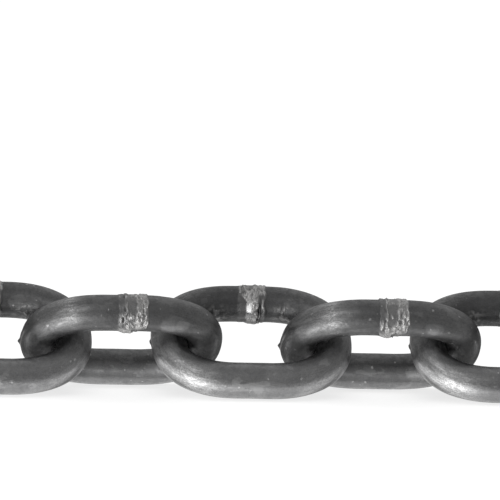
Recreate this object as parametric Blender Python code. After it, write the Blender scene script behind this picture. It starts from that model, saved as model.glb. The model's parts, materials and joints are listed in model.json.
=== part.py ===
"""One foot of welded steel chain, lying straight on a level floor.

Twelve like links of round wire, each a separate solid. Neighbouring links stand at right angles
to each other, and a chain that lies on a floor shares that turn out evenly: every link leans 45
degrees, one to the left and the next to the right, and all of them rest on their lower leg.
Each link but the middle one hangs on an empty that stands where it swings about its neighbour.

The chain runs along X. The origin lies on the floor, under the middle of its length.
Sizes are in metres.
"""

import math

import bpy

# The stock: trade size 1/4 in chain of 7 mm wire, sold by the foot at twelve links to the foot
LINK_COUNT = 12
MIDDLE_LINK = 6
PITCH = 0.0254
WIRE_DIAMETER = 0.0070
INSIDE_WIDTH = 0.0112
TOUCHING_GAP = 0.0003

# The oval: its legs are straight for a short stretch only, and the rest is one full crown,
# where bending and the proof load leave the wire a little thinner
STRAIGHT_HALF = 0.0028
CROWN_FULLNESS = 2.35
CROWN_THINNING = 0.03
CROWN_STEP = math.radians(15)
CROWN_STEPS = 5

# The butt weld on the upper leg, a little off the middle, as a low raised collar
WELD_OFFSET = 0.0015
WELD_LENGTH = 0.0056
WELD_RISE = 0.0003
WELD_SHOULDER = 0.0007

# A link's plane against the floor; an even-numbered link has its upper leg at +Y
LEAN = math.radians(45)

# Twelve sides round the wire, so that the lowest side of a leaning link lies flat on the floor
WIRE_SIDES = 12

WIRE_RADIUS = WIRE_DIAMETER / 2
INSIDE_LENGTH = PITCH + TOUCHING_GAP
HALF_LENGTH = INSIDE_LENGTH / 2 + WIRE_RADIUS * (1 - CROWN_THINNING)
HALF_WIDTH = (INSIDE_WIDTH + WIRE_DIAMETER) / 2
CROWN_REACH = HALF_LENGTH - STRAIGHT_HALF
SIDE_HEIGHT = WIRE_RADIUS * math.cos(math.pi / WIRE_SIDES)
CHAIN_HEIGHT = HALF_WIDTH * math.sin(LEAN) + SIDE_HEIGHT


def clear_scene():
    for old in list(bpy.data.objects):
        bpy.data.objects.remove(old)


def self_coloured_steel():
    """Uncoated steel with its dark mill scale."""
    material = bpy.data.materials.new("self_coloured_steel")
    material.use_nodes = True
    surface = material.node_tree.nodes["Principled BSDF"]
    surface.inputs["Base Color"].default_value = (0.30, 0.30, 0.302, 1)
    surface.inputs["Metallic"].default_value = 1.0
    surface.inputs["Roughness"].default_value = 0.39
    return material


def crown_station(angle):
    """A point of the wire's centre line on the crown at +X, where angle 0 is the outermost one.

    Each station is a point and the share of the wire's radius that the link has there.
    """
    power = 2 / CROWN_FULLNESS
    along = STRAIGHT_HALF + CROWN_REACH * math.cos(angle) ** power
    across = HALF_WIDTH * abs(math.sin(angle)) ** power
    thinned = 1 - CROWN_THINNING * math.cos(angle) ** 2
    return (along, math.copysign(across, angle)), thinned


def leg_station(along, share=1.0):
    """The same on the leg at +Y, by its distance along the link from the middle."""
    past = max(0.0, abs(along) - STRAIGHT_HALF) / CROWN_REACH
    across = HALF_WIDTH * (1 - past**CROWN_FULLNESS) ** (1 / CROWN_FULLNESS)
    return (along, across), share


def half_turn(station):
    """The station on the opposite side of the link."""
    (along, across), share = station
    return (-along, -across), share


def stations():
    """All the stations round the link, in order."""
    steps = range(-CROWN_STEPS, CROWN_STEPS + 1)
    crown = [crown_station(CROWN_STEP * step) for step in steps]

    weld_low = WELD_OFFSET - WELD_LENGTH / 2
    weld_high = WELD_OFFSET + WELD_LENGTH / 2
    raised = 1 + WELD_RISE / WIRE_RADIUS
    welded_leg = [
        leg_station(weld_high + WELD_SHOULDER),
        leg_station(weld_high, raised),
        leg_station(weld_low, raised),
        leg_station(weld_low - WELD_SHOULDER),
    ]
    plain_leg = [half_turn(leg_station(along)) for along in (STRAIGHT_HALF, -STRAIGHT_HALF)]
    return crown + welded_leg + [half_turn(station) for station in crown] + plain_leg


def link_curve(material):
    """The one shape that all the links share: round wire bent to a closed oval in its XY plane."""
    curve = bpy.data.curves.new("link", "CURVE")
    curve.dimensions = "3D"
    curve.bevel_depth = WIRE_RADIUS
    curve.bevel_resolution = (WIRE_SIDES - 4) // 2
    curve.resolution_u = 1
    spline = curve.splines.new("POLY")
    round_the_link = stations()
    spline.points.add(len(round_the_link) - 1)
    for knot, ((along, across), share) in zip(spline.points, round_the_link):
        knot.co = (along, across, 0, 1)
        knot.radius = share
    spline.use_cyclic_u = True
    spline.use_smooth = True
    curve.materials.append(material)
    return curve


def new_link(number, curve, collection):
    link = bpy.data.objects.new(f"link_{number:02d}", curve)
    collection.objects.link(link)
    return link


def hook_on(neighbour, number, side, curve, collection):
    """Hooks a link round the crown of its neighbour, at the neighbour's +X or -X end.

    The empty stands at the middle of the neighbour's bar there, and its Z axis is the one that
    the new link swings about: the normal of the new link's own plane. Links lean one way and
    the other in turn, so that plane is a right angle from the neighbour's.
    """
    hinge = bpy.data.objects.new(f"hinge_{number:02d}", None)
    hinge.empty_display_size = WIRE_DIAMETER
    hinge.parent = neighbour
    hinge.location = (side * HALF_LENGTH, 0, 0)
    quarter_turn = math.pi - 2 * LEAN
    leans_away = number % 2 == 1
    hinge.rotation_euler = (quarter_turn if leans_away else -quarter_turn, 0, 0)
    collection.objects.link(hinge)

    link = new_link(number, curve, collection)
    link.parent = hinge
    link.location = (side * (PITCH - HALF_LENGTH), 0, 0)
    return link


def lay_chain(curve, collection):
    """Lays the middle link first and hooks the others on, outwards to both ends."""
    middle = new_link(MIDDLE_LINK, curve, collection)
    from_centre = MIDDLE_LINK - (LINK_COUNT + 1) / 2
    middle.location = (from_centre * PITCH, 0, CHAIN_HEIGHT)
    middle.rotation_euler = (LEAN, 0, 0)

    last = middle
    for number in range(MIDDLE_LINK + 1, LINK_COUNT + 1):
        last = hook_on(last, number, 1, curve, collection)
    last = middle
    for number in range(MIDDLE_LINK - 1, 0, -1):
        last = hook_on(last, number, -1, curve, collection)


def main():
    clear_scene()
    collection = bpy.data.collections.new("length_of_chain")
    bpy.context.scene.collection.children.link(collection)
    lay_chain(link_curve(self_coloured_steel()), collection)


if __name__ == "__main__":
    main()
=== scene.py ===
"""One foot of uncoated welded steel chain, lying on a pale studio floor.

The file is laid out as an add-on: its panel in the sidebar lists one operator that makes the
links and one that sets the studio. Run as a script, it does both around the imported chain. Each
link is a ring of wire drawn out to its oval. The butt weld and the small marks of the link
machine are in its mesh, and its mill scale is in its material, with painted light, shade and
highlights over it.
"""

import json
import math

import bmesh
import bpy
import numpy as np
from bpy.props import FloatProperty, FloatVectorProperty, IntProperty, PointerProperty
from mathutils import Matrix, Vector, noise

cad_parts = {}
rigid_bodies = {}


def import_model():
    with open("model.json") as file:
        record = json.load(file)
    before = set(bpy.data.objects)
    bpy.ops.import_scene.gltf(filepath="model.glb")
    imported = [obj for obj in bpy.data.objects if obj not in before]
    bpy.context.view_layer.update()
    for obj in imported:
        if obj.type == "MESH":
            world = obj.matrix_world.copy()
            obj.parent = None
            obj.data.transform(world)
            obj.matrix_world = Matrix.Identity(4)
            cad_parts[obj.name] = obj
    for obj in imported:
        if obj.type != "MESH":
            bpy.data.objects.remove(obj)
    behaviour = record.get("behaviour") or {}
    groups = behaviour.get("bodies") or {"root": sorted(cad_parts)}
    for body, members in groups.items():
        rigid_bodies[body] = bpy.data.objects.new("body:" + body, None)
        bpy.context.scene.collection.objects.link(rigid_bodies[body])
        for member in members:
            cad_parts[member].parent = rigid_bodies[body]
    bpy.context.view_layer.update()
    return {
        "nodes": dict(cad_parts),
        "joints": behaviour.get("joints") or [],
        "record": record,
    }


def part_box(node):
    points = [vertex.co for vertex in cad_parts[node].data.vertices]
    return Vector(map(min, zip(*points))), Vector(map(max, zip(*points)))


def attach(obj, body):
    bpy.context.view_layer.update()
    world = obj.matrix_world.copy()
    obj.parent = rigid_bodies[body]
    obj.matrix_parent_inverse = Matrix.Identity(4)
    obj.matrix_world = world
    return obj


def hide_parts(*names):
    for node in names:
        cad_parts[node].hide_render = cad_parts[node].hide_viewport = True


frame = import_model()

bl_info = {
    "name": "Welded Steel Chain",
    "version": (1, 0, 0),
    "blender": (4, 5, 0),
    "location": "View3D > Sidebar > Chain",
    "description": "A length of uncoated welded chain and the studio that shows it",
    "category": "Add Mesh",
}

MM = 0.001
LINK_NODES = sorted(frame["nodes"])
STEEL_SLOT = frame["record"]["materials"][0]["slot"]

# The chain's axis runs along X at the height of its joints
AXIS_HEIGHT = frame["joints"][0]["pos_m"][2]
FIRST_LOW, FIRST_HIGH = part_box(LINK_NODES[0])
LINK_LENGTH = FIRST_HIGH.x - FIRST_LOW.x
LEAN = math.radians(45)

# Where two links press on each other their wire is squeezed fuller, to a saddle: its rise in the
# middle of the crown, its length, and its further rise in metres for each square metre past the
# middle
SEAT_RISE = 0.148 * MM
SEAT_LENGTH = 2.7 * MM
SADDLE_CURVE = 60

# Painted light and shade on the upper and the lower leg, on links that lean to the front and on the
# others, the painted light that lifts the seats, and how much lighter still the scale is on a scar
FRONT_PAINTED_LEG_SHADING = (0.87, 1.0)
BACK_PAINTED_LEG_SHADING = (0.55, 1.33)
SEAT_PAINTED_LIGHT = 0.8
SCAR_TONE = 0.4

# Places along a link, each as the way to it from the link's middle and its length: the shoulders,
# where the wear carries a painted highlight, a narrow band of painted highlight on the upper left
# one, and the scraped spots on the inner side
SHOULDER = (11.2 * MM, 3.8 * MM)
PAINTED_HIGHLIGHT_BAND = (-9.9 * MM, 1.1 * MM)
SCRAPED = (7.3 * MM, 1.9 * MM)

# The scar of a flake: its place and size along the link, and round the wire in degrees
SCAR_PLACE = (8.9 * MM, 68)
SCAR_SIZE = (2.5 * MM, 30)
SCAR_DEPTH = 0.03 * MM

# Where the link machine's mark is looked for on the -X crown, along the wire and, in radians,
# round it, and the wire's radius there
MARK_REACH = 3 * MM
MARK_TURN = 0.5
CROWN_WIRE_RADIUS = 3.4 * MM

# The mark's thin ridge: its ends past the middle of the crown, how softly it ends and its width
RIDGE_ENDS = (-1.5 * MM, 2.7 * MM)
RIDGE_SOFTNESS = 0.5 * MM
RIDGE_WIDTH = 0.4 * MM

# Height of the ridge in millimetres and place of the burr on it, on links that lean to the front
# and on the others
FRONT_RIDGE = (0.18, -0.65 * MM)
BACK_RIDGE = (0.04, -0.15 * MM)

# The burr's length and width, its height in millimetres, and the bright edges' way out from the
# outermost line and their width
BURR_SIZE = (0.36 * MM, 0.45 * MM)
BURR_HEIGHT = 0.36
BRIGHT_EDGE = (0.62 * MM, 0.2 * MM)

# How far each link's weld lies from its usual place along the leg, in millimetres
WELD_SLIPS = (0.25, -0.2, 0.1, -0.8, 0.0, 0.0, 0.0, 0.8, -0.15, 0.3, -0.1, 0.2)

# How many times as far apart the links lie in the pattern of the scale as in that of the weld
SCALE_SHIFT = 7

# Layers of the mill scale: how fast each changes along the wire, against across it, its scale for
# each metre, its detail and roughness, and the noise at which it starts and is full
SCALE_LAYERS = {
    "Clouds": (1, 190, 4, 0.6, 0.36, 0.66),
    "Flakes": (0.6, 360, 4, 0.6, 0.57, 0.60),
    "Mottle": (1, 1000, 4, 0.6, 0.3, 0.7),
    "Lines": (0.18, 2300, 3, 0.6, 0.3, 0.7),
    "Scratches": (0.2, 3100, 3, 0.65, 0.46, 0.6),
    "Grain": (1, 3800, 2, 0.6, 0.32, 0.68),
}

# Bright nicks and dark pits in the scale: cells for each metre, and the reach of the largest spot
# as a share of a cell
SPOTS = {"Nicks": (850.0, 0.30), "Pits": (700.0, 0.18)}

# The crinkle of torn metal: its scale for each metre, its detail and roughness
CRINKLE = (2300, 3, 0.6)

# What each mask adds to the thinness of the scale, to the streaks of the wear and its painted
# highlight, to the roughness and to the relief, and the height in metres of a relief of 1
THIN_PARTS = {"Mottle": 0.28, "Clouds": 0.36, "Grain": 0.28, "Flakes": 0.48}
STREAK_PARTS = {"Scratches": 0.45, "Grain": 0.55}
ROUGH_PARTS = {"Flakes": 0.05, "Worn": -0.09, "Bare": -0.07}
RELIEF_PARTS = {
    "Mottle": 0.5, "Lines": 0.22, "Grain": 0.22, "Nicks": 0.8, "Flakes": -0.35, "Pits": -1.5,
    "Torn": 4.2,
}
RELIEF_HEIGHT = 0.03 * MM

# Greys of nicked scale, of the darker torn metal, and of the painted shade at the bottom of creases
NICK_GREY = 0.85
TORN_GREY = 0.52
PAINTED_CREASE_SHADE_GREY = 0.03

# Soft boxes round the chain, all far away: turn from the front to the right, rise above the floor
# and spread, in degrees, and radiance. The steel mirrors those below the floor too. The first three
# make one tall box at the front left.
SOFT_BOXES = (
    (-30, -36, 17, 1.95),
    (-30, -10, 16, 0.85),
    (-30, 40, 16, 0.85),
    (-90, -20, 20, 1.05),
    (180, 45, 45, 0.25),
    (180, -40, 20, 0.34),
)

# Two strips of light under the floor, one before and one behind the chain's middle: place along Y,
# width and radiance
STRIPS = {"front_strip": (-11 * MM, 10 * MM, 0.45), "back_strip": (4.5 * MM, 5 * MM, 0.48)}
STRIP_LENGTH = 0.5
STRIP_DEPTH = 1 * MM

FLOOR_RADIUS = 60
FLOOR_GREY = 0.3
FLOOR_GLOW = 0.75
FLOOR_LIGHT_SPREAD = math.radians(70)

# The camera's aim, along X from the chain's middle and up from its axis
AIM_ALONG = -13.65 * MM
AIM_ABOVE = 18.17 * MM
SENSOR_WIDTH = 36
NEAREST_SEEN = 0.01
FARTHEST_SEEN = 200

# What a piece's name starts with, before its node's name
PIECE_PREFIX = "welded_"

# Attributes that the materials read
BAR_PLACE = "bar_place"
BARE_METAL = "bare_metal"
# Painted shade in the weld's creases and open joint
CREASE_SHADE = "crease"
# Wear, partly a painted highlight, on the shoulders and on the weld's shiny places
WEAR_AND_PAINTED_HIGHLIGHT = "rubbed"
# Painted light and shade over the legs, seats and crowns, with the lighter tone of the scars
PAINTED_SHADING_AND_SCAR_TONE = "tone"


class ChainShape(bpy.types.PropertyGroup):
    """The sizes of one link."""

    wire_diameter: FloatProperty(
        name="Wire", description="Diameter of the round wire", default=7 * MM, unit="LENGTH"
    )
    inside_width: FloatProperty(
        name="Inside Width", description="Width of a link's window", default=11.2 * MM, unit="LENGTH"
    )
    link_length: FloatProperty(
        name="Link Length", description="Outside length of a link", default=LINK_LENGTH, unit="LENGTH"
    )
    straight: FloatProperty(
        name="Straight", description="Straight stretch of each leg", default=5.6 * MM, unit="LENGTH"
    )
    crown_fullness: FloatProperty(
        name="Crown Fullness", description="2 is an ellipse, more is squarer", default=2.35
    )
    crown_thinning: FloatProperty(
        name="Crown Thinning", description="Share that the wire loses at a crown", default=0.03
    )
    weld_offset: FloatProperty(
        name="Weld Offset", description="Weld's place along its leg", default=1.5 * MM, unit="LENGTH"
    )
    rows: IntProperty(name="Rows", description="Rings of vertices along the wire", default=300)
    sides: IntProperty(name="Sides", description="Vertices in each ring", default=128)


class ChainFinish(bpy.types.PropertyGroup):
    """The colours and gloss of the steel."""

    scale_light: FloatVectorProperty(
        name="Light Scale", description="Mill scale where it is thin", subtype="COLOR",
        default=(0.39, 0.39, 0.392),
    )
    scale_dark: FloatVectorProperty(
        name="Dark Scale", description="Mill scale where it is thick", subtype="COLOR",
        default=(0.22, 0.22, 0.223),
    )
    bare_steel: FloatVectorProperty(
        name="Bare Steel", description="Metal torn open at the weld", subtype="COLOR",
        default=(0.88, 0.87, 0.86),
    )
    # Near-white steel that stands for wear and for a painted highlight
    wear_and_highlight_steel: FloatVectorProperty(
        name="Wear and Highlight Steel", description="Shoulders that rub on other links", subtype="COLOR",
        default=(0.90, 0.90, 0.90),
    )
    roughness: FloatProperty(
        name="Roughness", description="Roughness of the scale", default=0.39, min=0, max=1
    )


class ChainStudio(bpy.types.PropertyGroup):
    """The camera and the light."""

    lens: FloatProperty(name="Lens", description="Focal length in millimetres", default=651.2)
    distance: FloatProperty(
        name="Distance", description="From the camera to its aim", default=1.755, unit="LENGTH"
    )
    turn: FloatProperty(
        name="Turn", description="Camera's way round to the left", default=math.radians(7.09),
        unit="ROTATION",
    )
    rise: FloatProperty(
        name="Rise", description="Camera's angle above the floor", default=math.radians(9.29),
        unit="ROTATION",
    )
    roll: FloatProperty(
        name="Roll", description="Camera's turn about its own axis", default=math.radians(2.246),
        unit="ROTATION",
    )
    ambient: FloatProperty(name="Ambient", description="Light from all round", default=0.19)
    boxes: FloatProperty(name="Soft Boxes", description="Strength of the soft boxes", default=1.0)
    strips: FloatProperty(name="Strips", description="Strength of the strips", default=1.0)
    floor_light: FloatProperty(name="Floor Light", description="Light on the floor", default=2.4)


def smooth_step(low, high, value):
    """0 below low, 1 above high and a soft rise between them; low may be the higher one."""
    share = min(1.0, max(0.0, (value - low) / (high - low)))
    return share * share * (3 - 2 * share)


def bell(value, middle, width):
    """1 at the middle, falling off over the width."""
    return math.exp(-(((value - middle) / width) ** 2))


def bells(values, middle, width):
    """The same as bell, for an array."""
    return np.exp(-(((values - middle) / width) ** 2))


def window(value, low, high, soft):
    """1 between low and high, with a soft edge at both."""
    return smooth_step(low - soft, low + soft, value) * smooth_step(high + soft, high - soft, value)


def turned_away(around, low, high):
    """1 on the half of the bar that lies behind the link's plane, past the given turns in degrees."""
    turn = math.degrees(around) % 360
    return smooth_step(low, high, turn) * smooth_step(330, 270, turn)


def seat_share(past_crown):
    """1 where two links press on each other and 0 farther along, by the way past the crown."""
    return math.exp(-((past_crown / SEAT_LENGTH) ** 4))


def crumple(point, size):
    """Torn metal: 0 in the creases and 1 on the crests, over lumps of about the given size."""
    rough = noise.noise(point / size) + 0.5 * noise.noise(point / (0.43 * size))
    return 1 - min(1.0, 1.6 * abs(rough))


def finished_mesh(name, shape):
    """A new mesh with the shape of a bmesh, which is freed."""
    mesh = bpy.data.meshes.new(name)
    shape.to_mesh(mesh)
    shape.free()
    return mesh


def add_object(name, data):
    """A new object in the scene's collection."""
    made = bpy.data.objects.new(name, data)
    bpy.context.scene.collection.objects.link(made)
    return made


class Wire:
    """The wire's way round a link, row by row, in the link's own XY plane.

    Rows start at the weld on the +Y leg, run to the +X crown and come back to the weld by the
    -X crown. They stand closer together along the weld.
    """

    FINE_ROWS = 35
    FINE_STRETCH = 3.5 * MM
    PATH_POINTS = 901

    def __init__(self, shape):
        self.radius = shape.wire_diameter / 2
        self.half_width = (shape.inside_width + shape.wire_diameter) / 2
        crown_radius = self.radius * (1 - shape.crown_thinning)
        self.straight_half = shape.straight / 2
        self.reach = shape.link_length / 2 - crown_radius - self.straight_half
        self.fullness = shape.crown_fullness
        self.weld_offset = shape.weld_offset
        self.rows = shape.rows
        self.sides = shape.sides

        path_x, path_y = self.path()
        travelled = np.concatenate(([0], np.cumsum(np.hypot(np.diff(path_x), np.diff(path_y)))))
        self.length = travelled[-1]
        fine = self.FINE_ROWS
        self.along = np.interp(
            np.arange(self.rows),
            (0, fine, self.rows - fine, self.rows),
            (0, self.FINE_STRETCH, self.length - self.FINE_STRETCH, self.length),
        )
        self.x = np.interp(self.along, travelled, path_x)
        self.y = np.interp(self.along, travelled, path_y)
        self.from_weld = np.where(self.along < self.length / 2, self.along, self.along - self.length)

        across_crown = np.clip(np.abs(self.x) - self.straight_half, 0, None) / self.reach
        across_leg = np.abs(self.y) / self.half_width
        slope_x = np.sign(self.x) * across_crown ** (self.fullness - 1) / self.reach
        slope_y = np.sign(self.y) * across_leg ** (self.fullness - 1) / self.half_width
        size = np.hypot(slope_x, slope_y)
        self.outward_x = slope_x / size
        self.outward_y = slope_y / size
        self.share = 1 - shape.crown_thinning * across_crown**self.fullness

    def path(self):
        """A fine outline of the centre line, from the weld round to the weld again."""
        angle = np.linspace(math.pi / 2, -math.pi / 2, self.PATH_POINTS)
        power = 2 / self.fullness
        along = self.straight_half + self.reach * np.abs(np.cos(angle)) ** power
        across = self.half_width * np.sign(angle) * np.abs(np.sin(angle)) ** power
        path_x = np.concatenate(([self.weld_offset], along, -along, [self.weld_offset]))
        path_y = np.concatenate(([self.half_width], across, -across, [self.half_width]))
        return path_x, path_y


def spun_ring(wire):
    """A closed ring of wire about Z, with each vertex's row and side of the link's wire."""
    ring_radius = 4 * wire.radius
    ring = bmesh.new()
    stand = Matrix.Translation((ring_radius, 0, 0)) @ Matrix.Rotation(math.pi / 2, 4, "X")
    bmesh.ops.create_circle(ring, segments=wire.sides, radius=wire.radius, matrix=stand)
    bmesh.ops.spin(
        ring, geom=ring.verts[:] + ring.edges[:], cent=(0, 0, 0), axis=(0, 0, 1),
        angle=2 * math.pi, steps=wire.rows, use_merge=True,
    )
    bmesh.ops.recalc_face_normals(ring, faces=ring.faces[:])
    mesh = finished_mesh("spun_ring", ring)
    mesh.shade_smooth()

    places = np.empty(len(mesh.vertices) * 3)
    mesh.vertices.foreach_get("co", places)
    x, y, z = places.reshape(-1, 3).T
    turn = np.arctan2(y, x) / (2 * math.pi)
    row = np.rint(-turn * wire.rows).astype(int) % wire.rows
    around = np.arctan2(z, np.hypot(x, y) - ring_radius) / (2 * math.pi)
    side = np.rint(around * wire.sides).astype(int) % wire.sides
    return mesh, row, side


class Weld:
    """The flash of one link's butt weld, as the trimming tool leaves it.

    Along is the way in millimetres from the middle of the flash, butt the place of the joint
    itself, and turn the angle from the link's outer side in degrees. The outer side is sheared
    smooth in the middle and torn round that. On the inner side a block stands before the joint.
    Each side gives the height in millimetres, the bareness, the painted shade of its creases, and the
    gloss of its shiny places with a painted highlight.
    """

    # The flash's half length, how far from its middle it is looked for, and how softly it ends
    HALF_LENGTH = 2.75
    REACH = 1.3 * HALF_LENGTH
    END_SOFTNESS = 0.16

    # How far each link lies from the one before in the pattern of the torn metal, in metres
    LINK_SHIFT = (0.1, 0.07, 0.05)

    # The flash's usual place along the leg, and the joint's place past the flash's middle, on links
    # that lean to the front and on the others
    FRONT_PLACE = (-0.33, 0.15)
    BACK_PLACE = (-1.05, 1.45)

    # Ends of the smooth patch on the outer side
    PATCH = (-1.35, 0.6)

    # Marks across the outer side: place and width
    GROOVE = (-1.75, 0.17)
    LINE = (-1.4, 0.13)
    SLOT = (1.9, 0.15)
    RIM = (-2.5, 0.12)

    # The block on the inner side, by the way past the joint: its foot and the length of its slope
    BLOCK_FOOT = -2.75
    BLOCK_SLOPE = 1.05

    # Ends of the torn column down the inner side and of the shiny strip in it, which carries a painted
    # highlight, past the joint
    COLUMN = (-2.7, -0.4)
    STRIP = (-2.7, -1.75)

    # Marks across the inner side, past the joint: where it gapes, and the place and width of the
    # curl and of the ragged edge
    JOINT = -0.3
    CURL = (-0.25, 0.18)
    EDGE = (0.66, 0.26)

    # Turns between which the outer side goes over into the inner one
    SIDE_CHANGE = (84, 104)

    def __init__(self, number, leans_front):
        self.offset = Vector([number * step for step in self.LINK_SHIFT])
        usual, self.butt = self.FRONT_PLACE if leans_front else self.BACK_PLACE
        self.middle = usual + WELD_SLIPS[number - 1]

    def noise(self, point, size):
        """This link's own noise, over lumps of about the given size in millimetres."""
        return noise.noise((point + self.offset) / (size * MM))

    def inside(self, along, turn, point):
        """1 on the flash, whose two ends wander round the wire."""
        ring = Vector((0, point.y, point.z))
        low = -self.HALF_LENGTH * (1 + 0.12 * self.noise(ring, 1.8))
        far = Vector((11 * MM, 0, 0))
        high = self.HALF_LENGTH * (1 + 0.14 * self.noise(ring + far, 1.8))
        end_inside = self.butt + 1.0 + 0.4 * self.noise(ring, 1.1)
        high += (end_inside - high) * smooth_step(84, 112, turn)
        return window(along, low, high, self.END_SOFTNESS)

    def tatters(self, point):
        """Torn metal as flat-topped scraps, and the thin crests and creases between them."""
        drawn = Vector((point.x, 0.6 * point.y, 0.6 * point.z))
        scraps = smooth_step(-0.08, 0.10, self.noise(drawn, 0.62))
        crest = crumple(drawn + self.offset, 0.8 * MM)
        return scraps, crest

    def sheared_patch(self, along, turn, point, wander):
        """1 on the smooth patch, which reaches farthest round the wire near its middle."""
        end = 76 - 22 * abs(along + 0.3) + 40 * wander
        patch = window(along + wander, *self.PATCH, 0.14) * smooth_step(end + 7, end - 7, turn)
        return patch * smooth_step(0.42, 0.30, self.noise(point, 1.4))

    def outer_marks(self, along, turn, point, wander):
        """The broken groove, bright line and slot across the outer side, the flash's left rim, and the
        painted highlight on the line.
        """
        ragged = self.noise(point, 1.4)
        groove = bell(along + wander, *self.GROOVE) * smooth_step(0.02, 0.2, ragged)
        line = bell(along + wander, *self.LINE) * smooth_step(-0.1, 0.12, ragged + 0.1)
        line *= smooth_step(82, 60, turn)
        slot = bell(along + wander, *self.SLOT) * smooth_step(0.05, 0.25, self.noise(point, 1.6))
        rim = bell(along + 0.3 * self.noise(point, 1.0), *self.RIM)
        rim *= smooth_step(-0.05, 0.25, self.noise(point, 1.3))
        # Painted highlight on the shiny parts of the bright line
        gloss_and_painted_highlight = line * smooth_step(0.18, 0.3, ragged)
        return groove, line, slot, rim, gloss_and_painted_highlight

    def outer_side(self, along, turn, point):
        """The sheared and torn side."""
        wander = 0.5 * self.noise(point, 1.8)
        patch = self.sheared_patch(along, turn, point, wander)
        groove, line, slot, rim, gloss_and_painted_highlight = self.outer_marks(along, turn, point, wander)
        scraps, crest = self.tatters(point)
        left = smooth_step(-1.1, -1.9, along)
        right = smooth_step(0.2, 0.8, along)
        torn = (1 - patch) * (1 - left * smooth_step(66, 34, turn + 25 * wander))

        height = 0.05 + 0.10 * window(along, -2.0, 1.2, 0.6)
        height += torn * (0.15 * scraps + 0.16 * crest**3 - 0.06)
        height += 0.12 * line - 0.18 * groove - 0.16 * slot + 0.05 * rim
        bare = 0.30 - 0.2 * left + torn * (0.10 + 0.2 * right + 0.6 * scraps + 0.25 * crest**3)
        # Painted shade in the creases between torn scraps, in the groove and in the slot
        crease = torn * (1 - scraps) * smooth_step(0.4, 0.1, crest) * (0.62 - 0.3 * right)
        return height, max(bare, line, 0.7 * rim), max(crease, 0.7 * groove, 0.6 * slot), gloss_and_painted_highlight

    def inner_marks(self, to_butt, turn, point, wander):
        """The open joint, the curl of metal low in it and the ragged edge past it."""
        joint = bell(to_butt + 0.3 * wander, self.JOINT, 0.13 + 0.08 * abs(wander))
        joint *= smooth_step(100, 138, turn + 20 * wander)
        curl = bell(to_butt + 0.03 * (turn - 168), *self.CURL) * bell(turn, 166, 10)
        ragged = self.noise(point, 0.9)
        edge = bell(to_butt + 0.3 * ragged, *self.EDGE) * smooth_step(-0.3, 0.1, wander)
        edge *= smooth_step(104, 120, turn) * smooth_step(170, 158, turn)
        return joint, curl, edge

    def inner_side(self, along, turn, point, away):
        """The side with the block and the open joint; away is 1 where it has turned to the back, where
        its torn metal is painted duller, as shade.
        """
        to_butt = along - self.butt
        wander = self.noise(point, 1.1)
        joint, curl, edge = self.inner_marks(to_butt, turn, point, wander)
        scraps, crest = self.tatters(point)
        slope = min(1.0, max(0.0, (to_butt - self.BLOCK_FOOT) / self.BLOCK_SLOPE))
        block = slope * smooth_step(0.1, -0.1, to_butt) * smooth_step(98, 120, turn)
        start, stop = self.COLUMN
        spread = 0.8 * smooth_step(126, 96, turn)
        column = window(to_butt + 0.25 * wander, start - spread, stop, 0.12)
        strip = window(to_butt + 0.08 * wander, *self.STRIP, 0.08)
        # The shiny strip carries a painted highlight, only on the half that faces the front
        strip *= smooth_step(122, 134, turn) * smooth_step(178, 168, turn) * (1 - away)
        torn = column * (1 - strip)

        height = 0.06 + 0.33 * block + torn * (0.07 * scraps + 0.08 * crest**2 - 0.05)
        height += 0.07 * edge - 0.30 * joint + 0.28 * curl
        bare = 0.17 + column * (0.75 + 0.2 * scraps + 0.1 * crest**2) + 0.45 * edge
        # Painted shade: the torn metal is duller where it turns to the back
        bare *= 1 - 0.6 * away
        # Painted shade in the open joint and in the creases between torn scraps
        crease = max(joint, torn * (1 - scraps) * smooth_step(0.3, 0.1, crest) * 0.4)
        return height, max(bare * (1 - joint), curl), crease * (1 - curl), strip

    def at(self, along, around, point):
        """Height in metres, bareness, painted shade in creases and the gloss with a painted highlight,
        at a place on the straight bar.
        """
        turn = abs(math.degrees(around))
        along /= MM
        inside = self.inside(along, turn, point)
        if inside == 0:
            return 0.0, 0.0, 0.0, 0.0
        share = smooth_step(*self.SIDE_CHANGE, turn + 10 * self.noise(point, 1.5))
        outer = self.outer_side(along, turn, point)
        inner = self.inner_side(along, turn, point, turned_away(around, 172, 190))
        both = zip(outer, inner)
        height, bare, crease, gloss_and_painted_highlight = (inside * (one + (other - one) * share) for one, other in both)
        return height * MM, bare, crease, gloss_and_painted_highlight


def crown_mark(past_crown, around, leans_front):
    """The thin ridge on the outermost line of the -X crown, with a pointed burr and bright edges.

    Gives the height in metres and 1 on the edges.
    """
    raised, burr_place = FRONT_RIDGE if leans_front else BACK_RIDGE
    burr_length, burr_width = BURR_SIZE
    across = CROWN_WIRE_RADIUS * around
    reach = window(past_crown, *RIDGE_ENDS, RIDGE_SOFTNESS)
    ridge = reach * bell(across, 0, RIDGE_WIDTH)
    burr = bell(past_crown, burr_place, burr_length) * bell(across, 0, burr_width)
    edge = reach * bell(abs(across), *BRIGHT_EDGE)
    return (raised * ridge + BURR_HEIGHT * burr) * MM, edge


def shoulder_wear_and_painted_highlight(wire, cosines, leans_front):
    """Wear on the outer sides of a link's four shoulders, partly a painted highlight in near-white
    steel.

    It is strongest on the left shoulders, where the light falls, and most on the lower left one of
    links whose lower leg is in front.
    """
    lower_front = (wire.y < 0) & (not leans_front)
    wear_and_highlight = np.where(lower_front, 1.0, 0.28) * np.where(wire.x < 0, 1.0, 0.35)
    wear_and_highlight *= bells(np.abs(wire.x), *SHOULDER)
    if leans_front:
        # A narrow band of painted highlight on the upper left shoulder
        wear_and_highlight += np.where(wire.y > 0, 0.5, 0.0) * bells(wire.x, *PAINTED_HIGHLIGHT_BAND)
    return wear_and_highlight[:, None] * np.clip(cosines + 0.25, 0, 1)[None, :]


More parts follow.
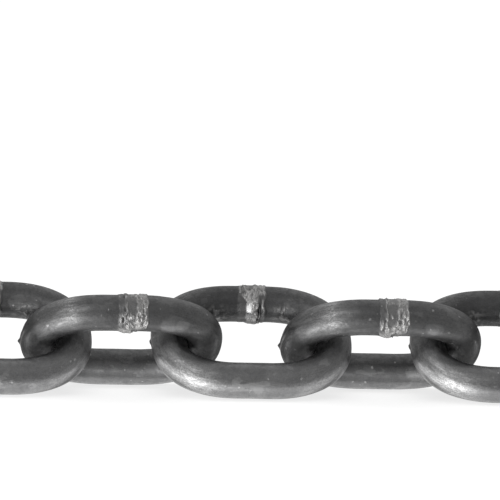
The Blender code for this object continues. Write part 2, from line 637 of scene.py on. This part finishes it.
def painted_leg_shading(wire, leans_front):
    """Painted light and shade, row by row: each link's two legs are painted lighter or darker, with a
    soft change between.

    On links that lean to the back the legs are painted lighter to the right, the upper one most.
    """
    # Painted light and shade, leg by leg
    upper, lower = FRONT_PAINTED_LEG_SHADING if leans_front else BACK_PAINTED_LEG_SHADING
    if not leans_front:
        to_right = np.clip((wire.x - 1 * MM) / (4 * MM), 0, 1)
        upper *= 1.06 + 0.42 * to_right
        lower *= 1 + 0.04 * to_right
    share = np.clip(0.5 + 0.75 * wire.y / wire.half_width, 0, 1)
    return lower + (upper - lower) * share


def painted_local_light_and_scar_tone(past_crown, y, around, scar, leans_front):
    """How light the surface is at a place, against the rest of its leg.

    Painted light lifts the seats, and the scale is lighter on a scar. On links that lean to the front
    painted shade darkens the lower half of both crowns, and the lower leg is painted a little lighter
    and darker on its back.
    """
    turn = abs(math.degrees(around))
    # Painted light that lifts the shade in the seats where links press together
    seat = SEAT_PAINTED_LIGHT * seat_share(past_crown) * smooth_step(112, 130, turn)
    if not leans_front:
        return 1 + seat + SCAR_TONE * scar
    tone = 1 + seat * smooth_step(-1 * MM, 1 * MM, y) + SCAR_TONE * scar
    # Painted shade on the lower half of both crowns
    lower_crown = bell(past_crown, 0, 6 * MM) * smooth_step(4 * MM, -1 * MM, y)
    crown_painted_shade = 0.56 + 0.2 * bell(turn, 56, 26)
    tone *= 1 - crown_painted_shade * lower_crown * smooth_step(150, 120, turn)
    # Painted light on the lower leg, and painted shade on its back
    behind = turned_away(around, 135, 165)
    return tone * (1 + smooth_step(0, -3 * MM, y) * (0.1 - 0.35 * behind))


def scraped_spots(x, y, turn, point):
    """Bright scraped spots on the inner side of the upper leg, near both shoulders."""
    if y < 0:
        return 0.0
    near = bell(abs(x), *SCRAPED) * smooth_step(120, 142, turn)
    return 0.55 * near * smooth_step(0.02, 0.3, noise.noise(point / (0.8 * MM)))


def flake_scar(number, x, y, turn, point):
    """1 on the scar where a flake of scale came off the right shoulder of the upper leg."""
    if x < 0 or y < 0:
        return 0.0
    size = 0.72 + 0.28 * math.cos(2.4 * (number - 5))
    ragged = 0.5 * noise.noise(point / (1.6 * MM))
    (x_middle, turn_middle), (length, width) = SCAR_PLACE, SCAR_SIZE
    off = math.hypot((x - x_middle) / (length * size), (turn - turn_middle) / (width * size))
    return smooth_step(1.1, 0.8, off + ragged)


class LinkSurface:
    """How one link's wire departs from a smooth round bar, and how it is finished.

    Relief in metres, bareness, the painted shade of creases, the wear with its painted highlight, and
    the painted light and shade with the scars' tone are arrays with one entry for each row and side
    of the wire.
    """

    def __init__(self, number, wire, leans_front):
        self.number = number
        self.wire = wire
        self.leans_front = leans_front
        self.weld = Weld(number, leans_front)
        around = 2 * math.pi * np.arange(wire.sides) / wire.sides
        self.around = np.where(around > math.pi, around - 2 * math.pi, around)
        self.cosines = np.cos(self.around)
        self.sines = np.sin(self.around)
        round_bar = zip(wire.radius * self.cosines, wire.radius * self.sines)
        self.ring = [Vector((0, outward, upward)) for outward, upward in round_bar]
        self.crowns = [wire.along[int(np.argmax(sign * wire.x))] for sign in (-1, 1)]

        self.relief = np.zeros((wire.rows, wire.sides))
        self.bare = np.zeros((wire.rows, wire.sides))
        self.crease = np.zeros((wire.rows, wire.sides))
        self.rubbed = shoulder_wear_and_painted_highlight(wire, self.cosines, leans_front)
        self.tone = np.repeat(painted_leg_shading(wire, leans_front)[:, None], wire.sides, axis=1)
        for row in range(wire.rows):
            self.roll(row)
            past_weld = wire.from_weld[row] - self.weld.middle * MM
            past_crown = wire.along[row] - self.crowns[0]
            if abs(past_weld) < self.weld.REACH * MM:
                self.weld_row(row, past_weld)
            elif abs(past_crown) < MARK_REACH:
                self.mark_row(row, past_crown)

    def roll(self, row):
        """The rolled wire in one row: slightly uneven, fuller in its seats, scarred or scraped, with
        its painted light and shade.
        """
        x, y, along = self.wire.x[row], self.wire.y[row], self.wire.along[row]
        past_crown = min((along - crown for crown in self.crowns), key=abs)
        saddle = SEAT_RISE + SADDLE_CURVE * past_crown**2
        for side, around in enumerate(self.around):
            turn = abs(math.degrees(around))
            place = Vector((along, 0, 0)) + self.ring[side] + self.weld.offset
            uneven = 0.035 * noise.noise(place / (5.5 * MM)) + 0.008 * noise.noise(place / (1.9 * MM))
            seated = seat_share(past_crown) * smooth_step(115, 150, turn)
            if self.leans_front:
                scar = flake_scar(self.number, x, y, turn, place)
            else:
                scar = 0.0
                self.bare[row, side] = scraped_spots(x, y, turn, place)
            self.relief[row, side] = uneven * MM * (1 - seated) + saddle * seated - SCAR_DEPTH * scar
            self.tone[row, side] *= painted_local_light_and_scar_tone(past_crown, y, around, scar, self.leans_front)

    def weld_row(self, row, past_weld):
        """The weld's flash in one row; its shiny places get the near-white steel of a painted
        highlight.
        """
        for side, around in enumerate(self.around):
            point = Vector((past_weld, 0, 0)) + self.ring[side]
            height, bare, crease, gloss_and_painted_highlight = self.weld.at(past_weld, around, point)
            self.relief[row, side] += height
            self.bare[row, side] = bare
            self.crease[row, side] = crease
            self.rubbed[row, side] = max(self.rubbed[row, side], 2.5 * gloss_and_painted_highlight)

    def mark_row(self, row, past_crown):
        """The link machine's mark on the -X crown in one row."""
        for side, around in enumerate(self.around):
            if abs(around) < MARK_TURN:
                height, edge = crown_mark(past_crown, around, self.leans_front)
                self.relief[row, side] += height
                self.bare[row, side] = 0.7 * edge

    def places(self):
        """The vertices' places in the link's own plane."""
        wire = self.wire
        radius = wire.radius * wire.share[:, None] + self.relief
        x = wire.x[:, None] + radius * self.cosines * wire.outward_x[:, None]
        y = wire.y[:, None] + radius * self.cosines * wire.outward_y[:, None]
        return np.stack((x, y, radius * self.sines), axis=-1)

    def bar_places(self):
        """The vertices' places on the bar before it was bent, far from those of other links."""
        wire = self.wire
        bar = np.empty((wire.rows, wire.sides, 3))
        bar[..., 0] = (wire.along - wire.length / 2)[:, None]
        bar[..., 1] = wire.radius * self.cosines
        bar[..., 2] = wire.radius * self.sines
        return bar + SCALE_SHIFT * np.array(self.weld.offset)


def link_mesh(name, blank, row, side, surface):
    """One link in its own plane, drawn out from the ring of wire, with its finish as attributes."""
    mesh = blank.copy()
    mesh.name = name
    mesh.vertices.foreach_set("co", surface.places()[row, side].ravel())
    attribute = mesh.attributes.new(BAR_PLACE, "FLOAT_VECTOR", "POINT")
    attribute.data.foreach_set("vector", surface.bar_places()[row, side].ravel())
    finish = {
        BARE_METAL: surface.bare, CREASE_SHADE: surface.crease, WEAR_AND_PAINTED_HIGHLIGHT: surface.rubbed, PAINTED_SHADING_AND_SCAR_TONE: surface.tone
    }
    for title, values in finish.items():
        attribute = mesh.attributes.new(title, "FLOAT", "POINT")
        attribute.data.foreach_set("value", values[row, side])
    mesh.update()
    return mesh


def leans_to_front(node):
    """Whether the upper leg of a node's link is its front one."""
    vertices = frame["nodes"][node].data.vertices
    return max((vertex.co for vertex in vertices), key=lambda place: place.z).y <= 0


def lay(mesh, node, leans_front):
    """Turns and moves a link's mesh to where its node lies, with the weld on its upper leg."""
    low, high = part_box(node)
    place = Matrix.Translation(((low.x + high.x) / 2, 0, AXIS_HEIGHT))
    mesh.transform(place @ Matrix.Rotation(math.pi - LEAN if leans_front else LEAN, 4, "X"))


def add_node(tree, kind, **settings):
    """A new node with the given settings."""
    made = tree.nodes.new(kind)
    for name, value in settings.items():
        setattr(made, name, value)
    return made


def feed(tree, socket, value):
    """Joins a socket to another one, or sets it to a plain value."""
    if isinstance(value, bpy.types.NodeSocket):
        tree.links.new(value, socket)
    else:
        socket.default_value = value


def feed_all(tree, node, values):
    """Feeds each of a node's sockets that the values name, and gives the node back."""
    for name, value in values.items():
        feed(tree, node.inputs[name], value)
    return node


def compute(tree, operation, first, second=0.0, clamp=False):
    """The result of a Math node on two sockets or numbers."""
    made = add_node(tree, "ShaderNodeMath", operation=operation, use_clamp=clamp)
    return feed_all(tree, made, {0: first, 1: second}).outputs[0]


def compute_vectors(tree, operation, first, second, result="Vector"):
    """The result of a Vector Math node on two sockets or vectors."""
    made = add_node(tree, "ShaderNodeVectorMath", operation=operation)
    return feed_all(tree, made, {0: first, 1: second}).outputs[result]


def remap(tree, value, low, high, to_low=0.0, to_high=1.0):
    """A soft rise from one value to another, while the given value goes from low to high."""
    made = add_node(tree, "ShaderNodeMapRange", interpolation_type="SMOOTHSTEP")
    ends = {"From Min": low, "From Max": high, "To Min": to_low, "To Max": to_high}
    return feed_all(tree, made, {"Value": value, **ends}).outputs["Result"]


def weighted_sum(tree, masks, weights, total=0.0):
    """The total with each named mask added by its weight."""
    for name, weight in weights.items():
        total = compute(tree, "ADD", compute(tree, "MULTIPLY", masks[name], weight), total)
    return total


def grey(value):
    """An opaque grey."""
    return (value, value, value, 1)


def blend_colours(tree, share, first, second, how="MIX"):
    """The first colour with the second one over it by the given share."""
    made = add_node(tree, "ShaderNodeMix", data_type="RGBA", blend_type=how)
    return feed_all(tree, made, {"Factor": share, "A": first, "B": second}).outputs["Result"]


def cloud(tree, place, scale, detail, roughness):
    """Noise between 0 and 1 at a place."""
    values = {"Vector": place, "Scale": scale, "Detail": detail, "Roughness": roughness}
    return feed_all(tree, add_node(tree, "ShaderNodeTexNoise"), values).outputs["Fac"]


def mesh_attribute(tree, attribute, result="Fac"):
    """An attribute of the piece's own mesh."""
    return add_node(tree, "ShaderNodeAttribute", attribute_name=attribute).outputs[result]


def new_group(name, inputs, outputs):
    """A node group: its inputs are names with socket types, its outputs the names of values."""
    tree = bpy.data.node_groups.new(name, "ShaderNodeTree")
    for title, kind in inputs.items():
        tree.interface.new_socket(name=title, in_out="INPUT", socket_type=kind)
    for title in outputs:
        tree.interface.new_socket(name=title, in_out="OUTPUT", socket_type="NodeSocketFloat")
    return tree, add_node(tree, "NodeGroupInput"), add_node(tree, "NodeGroupOutput")


def use_group(tree, group, values):
    """The outputs of a node group that is fed the given values."""
    return feed_all(tree, add_node(tree, "ShaderNodeGroup", node_tree=group), values).outputs


def new_material(name):
    """A material, its nodes and its shader."""
    material = bpy.data.materials.new(name)
    material.use_nodes = True
    return material, material.node_tree, material.node_tree.nodes["Principled BSDF"]


def mill_scale_group():
    """Rolled-on scale: clouds, flakes with an edge, mottling, lengthwise lines, scratches and grain."""
    tree, given, out = new_group("mill_scale", {"Place": "NodeSocketVector"}, SCALE_LAYERS)
    for name, (lengthwise, scale, detail, roughness, low, high) in SCALE_LAYERS.items():
        place = compute_vectors(tree, "MULTIPLY", given.outputs["Place"], (lengthwise, 1, 1))
        pattern = cloud(tree, place, scale, detail, roughness)
        feed(tree, out.inputs[name], remap(tree, pattern, low, high))
    return tree


def specks_group():
    """Small ragged spots, few and far between, each of its own size and strength."""
    tree, given, out = new_group(
        "specks",
        {"Place": "NodeSocketVector", "Scale": "NodeSocketFloat", "Size": "NodeSocketFloat"},
        ["Specks"],
    )
    place, scale, size = (given.outputs[name] for name in ("Place", "Scale", "Size"))
    warp = feed_all(tree, add_node(tree, "ShaderNodeTexNoise"), {"Vector": place, "Scale": 2500})
    shift = compute_vectors(tree, "MULTIPLY", warp.outputs["Color"], (0.5 * MM,) * 3)
    warped = compute_vectors(tree, "ADD", place, shift)
    cells = feed_all(tree, add_node(tree, "ShaderNodeTexVoronoi"), {"Vector": warped, "Scale": scale})
    picked = add_node(tree, "ShaderNodeSeparateColor")
    feed(tree, picked.inputs["Color"], cells.outputs["Color"])
    choice, width, strength = picked.outputs
    reach = compute(tree, "MULTIPLY", size, width)
    near = compute(tree, "SUBTRACT", 1.0, compute(tree, "DIVIDE", cells.outputs["Distance"], reach))
    spot = compute(tree, "MULTIPLY", remap(tree, near, 0.0, 0.5), remap(tree, choice, 0.62, 0.66))
    feed(tree, out.inputs["Specks"], compute(tree, "MULTIPLY", spot, strength))
    return tree


def steel_masks(tree):
    """The layers of the scale, its painted light and shade with the scars' tone, and where it is
    nicked, pitted, bare or torn, with painted shade in creases and wear with its painted highlight.
    """
    place = mesh_attribute(tree, BAR_PLACE, "Vector")
    masks = dict(use_group(tree, mill_scale_group(), {"Place": place}).items())
    specks = specks_group()
    for name, (scale, size) in SPOTS.items():
        spots = use_group(tree, specks, {"Place": place, "Scale": scale, "Size": size})
        masks[name] = spots["Specks"]
    masks["Bare"] = mesh_attribute(tree, BARE_METAL)
    masks["Crease"] = mesh_attribute(tree, CREASE_SHADE)
    masks["Tone"] = mesh_attribute(tree, PAINTED_SHADING_AND_SCAR_TONE)
    rubbed = mesh_attribute(tree, WEAR_AND_PAINTED_HIGHLIGHT)
    streaks = remap(tree, weighted_sum(tree, masks, STREAK_PARTS), 0.2, 0.75, 0.32, 1.0)
    masks["Worn"] = compute(tree, "MULTIPLY", rubbed, streaks, clamp=True)
    masks["Crinkle"] = cloud(tree, place, *CRINKLE)
    unrubbed = compute(tree, "SUBTRACT", 1.0, rubbed, clamp=True)
    torn = compute(tree, "MULTIPLY", masks["Bare"], unrubbed)
    masks["Torn"] = compute(tree, "MULTIPLY", masks["Crinkle"], torn)
    return masks


def steel_colour(tree, masks, finish):
    """Scale that is lighter where it is thin, times the painted light and shade, with nicks, torn
    metal, wear with its painted highlight and the painted shade of creases over it.
    """
    thin = weighted_sum(tree, masks, THIN_PARTS)
    colour = blend_colours(tree, thin, (*finish.scale_dark, 1), (*finish.scale_light, 1))
    # Painted light and shade, with the scars' lighter tone
    colour = blend_colours(tree, 1.0, colour, masks["Tone"], "MULTIPLY")
    nicked = compute(tree, "MULTIPLY", masks["Nicks"], masks["Tone"], clamp=True)
    bright = remap(tree, masks["Crinkle"], 0.38, 0.59, 0.60, 1.0)
    torn_metal = blend_colours(tree, bright, grey(TORN_GREY), (*finish.bare_steel, 1))
    # Painted shade at the bottom of the weld's creases
    painted_crease_shade = compute(tree, "MULTIPLY", masks["Crease"], 0.85)
    for share, over in (
        (nicked, grey(NICK_GREY)), (masks["Bare"], torn_metal),
        (masks["Worn"], (*finish.wear_and_highlight_steel, 1)), (painted_crease_shade, grey(PAINTED_CREASE_SHADE_GREY)),
    ):
        colour = blend_colours(tree, share, colour, over)
    return colour


def self_coloured_steel(finish):
    """Uncoated steel: dark satin scale with painted light and shade, shoulder wear with a painted
    highlight, and bright torn metal at the weld.
    """
    material, tree, surface = new_material(STEEL_SLOT)
    masks = steel_masks(tree)
    mottled = remap(tree, masks["Mottle"], 0, 1, finish.roughness + 0.08, finish.roughness - 0.07)
    bump = feed_all(tree, add_node(tree, "ShaderNodeBump"), {
        "Distance": RELIEF_HEIGHT, "Strength": 1.0, "Height": weighted_sum(tree, masks, RELIEF_PARTS)
    })
    feed_all(tree, surface, {
        "Metallic": 1.0,
        "Base Color": steel_colour(tree, masks, finish),
        "Roughness": weighted_sum(tree, masks, ROUGH_PARTS, mottled),
        "Normal": bump.outputs["Normal"],
    })
    return material


class CHAIN_OT_links(bpy.types.Operator):
    """Make every link of the chain and lay it where its node is"""

    bl_idname = "chain.add_links"
    bl_label = "Links"

    def execute(self, context):
        wire = Wire(context.scene.chain_shape)
        blank, row, side = spun_ring(wire)
        material = self_coloured_steel(context.scene.chain_finish)
        for number, node in enumerate(LINK_NODES, 1):
            leans_front = leans_to_front(node)
            surface = LinkSurface(number, wire, leans_front)
            mesh = link_mesh(PIECE_PREFIX + node, blank, row, side, surface)
            lay(mesh, node, leans_front)
            mesh.materials.append(material)
            link = add_object(mesh.name, mesh)
            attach(link, node)
            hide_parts(node)
        bpy.data.meshes.remove(blank)
        return {"FINISHED"}


def pale_floor(height):
    """A pale floor that glows a little, so that the chain's shadow on it stays faint.

    It lets light through from below and is not mirrored in the steel, as on a light table.
    """
    plane = bmesh.new()
    bmesh.ops.create_circle(plane, cap_ends=True, segments=64, radius=FLOOR_RADIUS)
    bmesh.ops.translate(plane, verts=plane.verts[:], vec=(0, 0, height))
    mesh = finished_mesh("floor", plane)
    material, tree, surface = new_material("pale_floor")
    feed_all(tree, surface, {
        "Base Color": grey(FLOOR_GREY), "Roughness": 1.0, "Specular IOR Level": 0.0,
        "Emission Color": grey(1), "Emission Strength": FLOOR_GLOW,
    })
    mesh.materials.append(material)
    floor = add_object("floor", mesh)
    floor.visible_glossy = False
    floor.visible_shadow = False


def direction(turn, rise):
    """The way from the chain outwards, turned from the front to the right and raised."""
    return Vector((math.cos(rise) * math.sin(turn), -math.cos(rise) * math.cos(turn), math.sin(rise)))


def soft_box(tree, way, turn, rise, spread, radiance):
    """Light that is strongest from one side and falls off softly round it."""
    turn, rise, spread = (math.radians(angle) for angle in (turn, rise, spread))
    towards = compute_vectors(tree, "DOT_PRODUCT", way, direction(turn, rise), "Value")
    off = compute(tree, "SUBTRACT", towards, 1.0)
    fall = compute(tree, "EXPONENT", compute(tree, "MULTIPLY", off, 2 / spread**2))
    return compute(tree, "MULTIPLY", fall, radiance)


def studio_world(studio):
    """The soft boxes and a little light from all round; the camera itself sees white."""
    world = bpy.data.worlds.new("studio")
    world.use_nodes = True
    tree = world.node_tree
    way = add_node(tree, "ShaderNodeTexCoord").outputs["Generated"]
    total = studio.ambient
    for turn, rise, spread, radiance in SOFT_BOXES:
        box = soft_box(tree, way, turn, rise, spread, studio.boxes * radiance)
        total = compute(tree, "ADD", box, total)
    room = feed_all(tree, tree.nodes["Background"], {"Color": grey(1), "Strength": total})
    white = feed_all(tree, add_node(tree, "ShaderNodeBackground"), {"Color": grey(1)})
    to_camera = add_node(tree, "ShaderNodeLightPath").outputs["Is Camera Ray"]
    both = add_node(tree, "ShaderNodeMixShader")
    feed_all(tree, both, {0: to_camera, 1: room.outputs[0], 2: white.outputs[0]})
    feed(tree, tree.nodes["World Output"].inputs["Surface"], both.outputs[0])
    bpy.context.scene.world = world


def studio_lights(studio, height):
    """A broad light that the steel doesn't mirror, and the strips that light the chain from below."""
    sun = bpy.data.lights.new("floor_light", "SUN")
    sun.energy = studio.floor_light
    sun.angle = FLOOR_LIGHT_SPREAD
    add_object("floor_light", sun).visible_glossy = False

    upward = Matrix.Rotation(math.pi, 4, "X")
    for name, (from_middle, width, radiance) in STRIPS.items():
        light = bpy.data.lights.new(name, "AREA")
        light.shape = "RECTANGLE"
        light.size = STRIP_LENGTH
        light.size_y = width
        light.energy = studio.strips * radiance * math.pi * STRIP_LENGTH * width
        place = Matrix.Translation((0, from_middle, height - STRIP_DEPTH))
        add_object(name, light).matrix_world = place @ upward


def studio_camera(studio):
    """The camera, low and a little to the left, which shows the fourth to the eighth link."""
    data = bpy.data.cameras.new("camera")
    data.lens = studio.lens
    data.sensor_width = SENSOR_WIDTH
    data.clip_start = NEAREST_SEEN
    data.clip_end = FARTHEST_SEEN
    away = direction(-studio.turn, studio.rise)
    place = Vector((AIM_ALONG, 0, AXIS_HEIGHT + AIM_ABOVE)) + away * studio.distance
    look = (-away).to_track_quat("-Z", "Y").to_matrix().to_4x4()
    camera = add_object("camera", data)
    camera.matrix_world = Matrix.Translation(place) @ look @ Matrix.Rotation(studio.roll, 4, "Z")
    bpy.context.scene.camera = camera


class CHAIN_OT_studio(bpy.types.Operator):
    """Set the pale floor, the soft light and the camera round the chain"""

    bl_idname = "chain.set_studio"
    bl_label = "Studio"

    def execute(self, context):
        studio = context.scene.chain_studio
        links = [thing for thing in context.scene.objects if thing.name.startswith(PIECE_PREFIX)]
        if not links:
            raise RuntimeError("the studio's floor lies under the links, so they come first")
        lowest = min(vertex.co.z for link in links for vertex in link.data.vertices)
        pale_floor(lowest)
        studio_world(studio)
        studio_lights(studio, lowest)
        studio_camera(studio)
        context.scene.view_settings.view_transform = "Standard"
        return {"FINISHED"}


class CHAIN_PT_sidebar(bpy.types.Panel):
    """Lists the operators and the sizes that they use"""

    bl_label = "Welded Chain"
    bl_idname = "CHAIN_PT_sidebar"
    bl_space_type = "VIEW_3D"
    bl_region_type = "UI"
    bl_category = "Chain"

    def draw(self, context):
        layout = self.layout
        for operator in OPERATORS:
            layout.operator(operator.bl_idname)
        for settings in SETTINGS:
            group = getattr(context.scene, settings)
            box = layout.box()
            for name in group.__annotations__:
                box.prop(group, name)


OPERATORS = (CHAIN_OT_links, CHAIN_OT_studio)
SETTINGS = {"chain_shape": ChainShape, "chain_finish": ChainFinish, "chain_studio": ChainStudio}
CLASSES = (*SETTINGS.values(), *OPERATORS, CHAIN_PT_sidebar)


def register():
    for cls in CLASSES:
        bpy.utils.register_class(cls)
    for name, group in SETTINGS.items():
        setattr(bpy.types.Scene, name, PointerProperty(type=group))


def unregister():
    for name in SETTINGS:
        delattr(bpy.types.Scene, name)
    for cls in reversed(CLASSES):
        bpy.utils.unregister_class(cls)


def main():
    register()
    bpy.ops.chain.add_links()
    bpy.ops.chain.set_studio()


if __name__ == "__main__":
    main()
